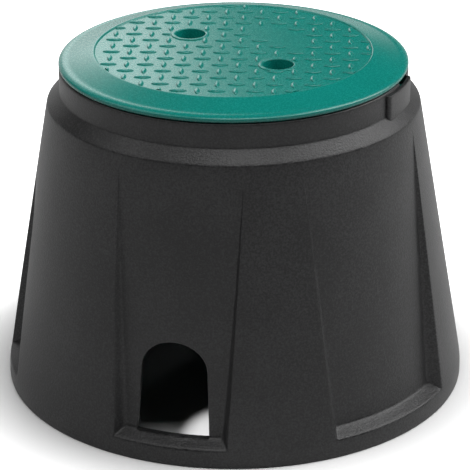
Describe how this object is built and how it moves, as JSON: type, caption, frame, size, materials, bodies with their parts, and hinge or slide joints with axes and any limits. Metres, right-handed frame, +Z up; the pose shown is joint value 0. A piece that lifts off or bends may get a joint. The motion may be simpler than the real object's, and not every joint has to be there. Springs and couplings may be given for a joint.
{
  "type": "irrigation valve box",
  "caption": "Round tapered in-ground valve box: a moulded body with recessed panels, pipe arches and a neck, closed by a twist-lock tread lid with finger holes.",
  "frame": {"origin": "centre of the base rim, on the ground plane", "axes": "+Z up along the axis of the body; -Y towards the front, where one pipe arch stands a little left of centre"},
  "size_m": [0.34, 0.34, 0.25],
  "materials": {
    "body_plastic": "moulded black polyethylene with a fine satin grain",
    "lid_plastic": "moulded green polypropylene with a soft sheen"
  },
  "bodies": {
    "body": {"valve_box_body": "body_plastic"},
    "lid": {"twist_lock_lid": "lid_plastic"}
  },
  "joints": [
    {"name": "lid_lift", "type": "slide", "parent": "body", "child": "lid", "axis": [0, 0, 1], "range_m": [0, 0.06]}
  ]
}
